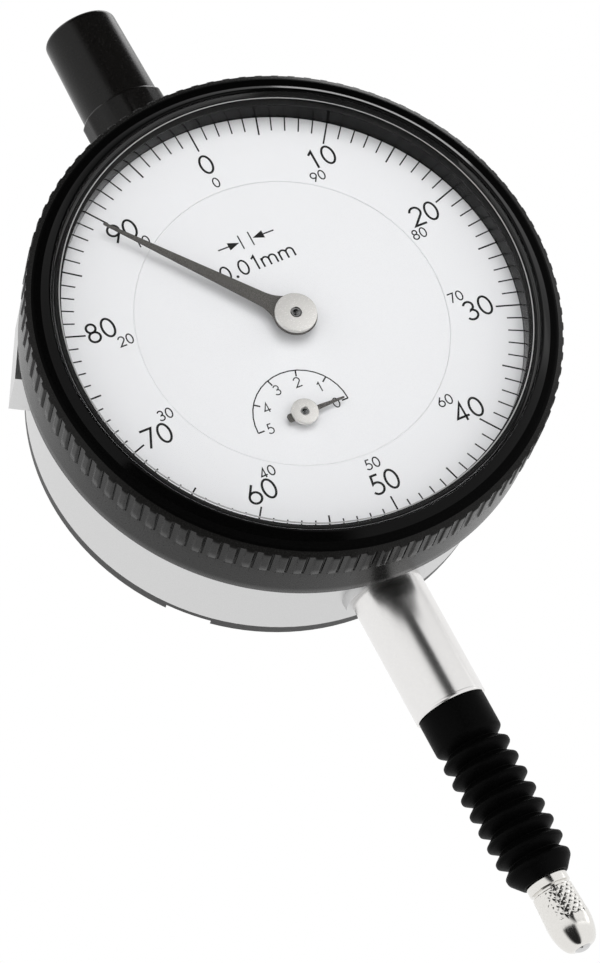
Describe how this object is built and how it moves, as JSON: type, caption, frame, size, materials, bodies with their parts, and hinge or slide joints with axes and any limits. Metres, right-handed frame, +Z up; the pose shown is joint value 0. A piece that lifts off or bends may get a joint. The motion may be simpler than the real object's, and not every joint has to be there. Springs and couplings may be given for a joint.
{
  "type": "dial indicator",
  "caption": "Round dial indicator with a turning bezel, clamping stem, ribbed rubber boot over the spindle and a knurled contact point; reads small displacements.",
  "frame": {"origin": "on the stem axis, half way along the clamping stem", "axes": "+Z up along the spindle away from the contact, dial facing -Y, +X to the reader's right"},
  "size_m": [0.0568, 0.0258, 0.1179],
  "materials": {
    "case_aluminium": "satin blasted",
    "stem_steel": "ground and finely brushed",
    "bush_brass": "reamed",
    "cap_plastic": "moulded, half gloss",
    "seal_rubber": "matt",
    "boot_rubber": "matt moulded",
    "cover_paint": "fine textured dark grey",
    "screw_steel": "plain",
    "plate_brass": "brushed",
    "wheel_brass": "polished",
    "arbor_steel": "ground",
    "jewel": "polished",
    "dial_print": "matt white",
    "hand_metal": "dark matt",
    "hub_metal": "turned",
    "bezel_plastic": "black, gloss front and satin skirt",
    "crystal_clear": "clear",
    "contact_steel": "bright, diamond knurled",
    "tip_carbide": "polished carbide"
  },
  "bodies": {
    "case": {"case": "case_aluminium", "stem": "stem_steel", "lower_bush": "bush_brass", "inner_bush": "bush_brass", "upper_bush": "bush_brass", "cap_seal": "seal_rubber", "cap_collar": "cap_plastic", "top_cap": "cap_plastic", "back_cover": "cover_paint", "back_cover_gasket": "seal_rubber", "back_cover_screws": "screw_steel", "front_plate": "plate_brass", "rear_plate": "plate_brass", "plate_pillars": "plate_brass", "pillar_screws": "screw_steel", "movement_screws": "screw_steel", "inner_dial": "dial_print", "dial_seat": "plate_brass", "rack_arbor_cock": "plate_brass", "cock_screws": "screw_steel", "guide_rail": "plate_brass", "guide_rail_screws": "screw_steel", "spring_post": "screw_steel", "return_spring": "screw_steel", "hairspring": "arbor_steel", "hairspring_stud": "wheel_brass", "pivot_jewels": "jewel", "bezel_seal": "seal_rubber", "bezel_retaining_ring": "screw_steel", "stop_washer": "seal_rubber", "rubber_boot": "boot_rubber"},
    "bezel": {"bezel": "bezel_plastic", "crystal": "crystal_clear", "crystal_gasket": "seal_rubber", "dial_ring": "dial_print", "dial_retainer": "screw_steel"},
    "spindle": {"spindle": "arbor_steel", "rack_sleeve": "arbor_steel", "guide_pin": "screw_steel", "contact_point": "contact_steel", "contact_tip": "tip_carbide"},
    "pointer": {"centre_arbor": "arbor_steel", "main_hand": "hand_metal", "main_hand_hub": "hub_metal"},
    "rack_wheel": {"rack_arbor": "arbor_steel", "rack_gear": "wheel_brass", "small_hand": "hand_metal", "small_hand_hub": "hub_metal"},
    "hairspring_wheel": {"hairspring_arbor": "arbor_steel", "hairspring_gear": "wheel_brass", "hairspring_collet": "wheel_brass"}
  },
  "joints": [
    {"name": "spindle_slide", "type": "slide", "parent": "case", "child": "spindle", "axis": [0, 0, 1], "range_m": [0, 0.0053], "stiffness_N_per_m": 80, "springref_m": -0.012, "deforming": ["rubber_boot", "return_spring"]},
    {"name": "pointer_spin", "type": "hinge", "parent": "case", "child": "pointer", "pos_m": [0, -0.0141, 0.03395], "axis": [0, 1, 0], "range_deg": [-2, 1912]},
    {"name": "rack_wheel_spin", "type": "hinge", "parent": "case", "child": "rack_wheel", "pos_m": [-0.00408, -0.0141, 0.02373], "axis": [0, 1, 0], "range_deg": [-191.2, 0.4]},
    {"name": "hairspring_wheel_spin", "type": "hinge", "parent": "case", "child": "hairspring_wheel", "pos_m": [0.00408, -0.0141, 0.04417], "axis": [0, 1, 0], "range_deg": [-191.2, 0.4]},
    {"name": "bezel_turn", "type": "hinge", "parent": "case", "child": "bezel", "pos_m": [0, -0.0141, 0.03395], "axis": [0, 1, 0], "continuous": true}
  ],
  "couplings": [
    {"joint": "pointer_spin", "follows": "spindle_slide", "rad_per_m": 6283.2},
    {"joint": "rack_wheel_spin", "follows": "spindle_slide", "rad_per_m": -628.32},
    {"joint": "hairspring_wheel_spin", "follows": "spindle_slide", "rad_per_m": -628.32}
  ]
}
